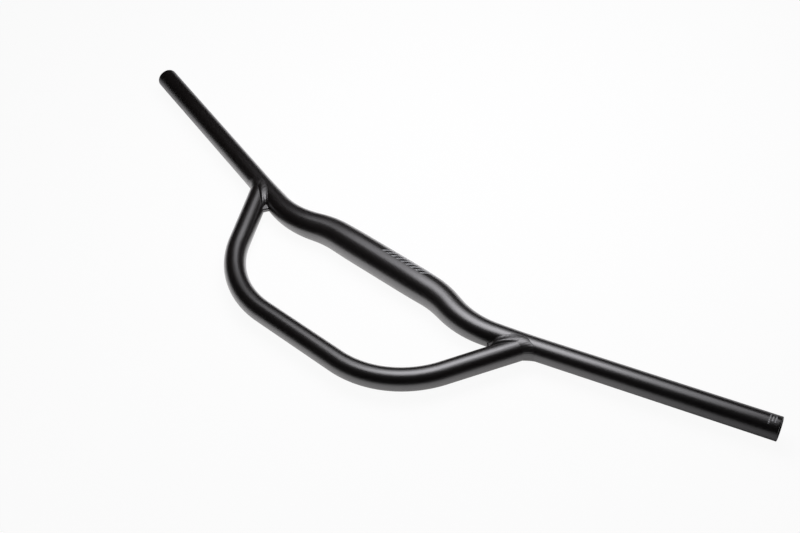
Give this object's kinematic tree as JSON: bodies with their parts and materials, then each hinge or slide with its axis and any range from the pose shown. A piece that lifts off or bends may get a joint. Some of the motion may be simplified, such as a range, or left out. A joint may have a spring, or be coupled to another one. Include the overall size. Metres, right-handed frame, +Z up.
{
  "type": "loop handlebar",
  "caption": "Bicycle handlebar with a swept, tapered main tube and a second bent tube welded across its front to close a wide loop.",
  "frame": {"origin": "middle of the stem clamp, on the main tube's axis", "axes": "+X along the clamp to the rider's right, +Y forward to the loop, +Z up; all tube axes lie in the plane Z = 0"},
  "size_m": [0.8054, 0.2033, 0.0318],
  "materials": {
    "black_tube": "satin black, bead blasted and anodised",
    "black_weld": "satin black over a smoothed weld bead"
  },
  "bodies": {
    "root": {"main_tube": "black_tube", "loop_tube": "black_tube", "gussets": "black_tube", "welds": "black_weld"}
  },
  "joints": []
}
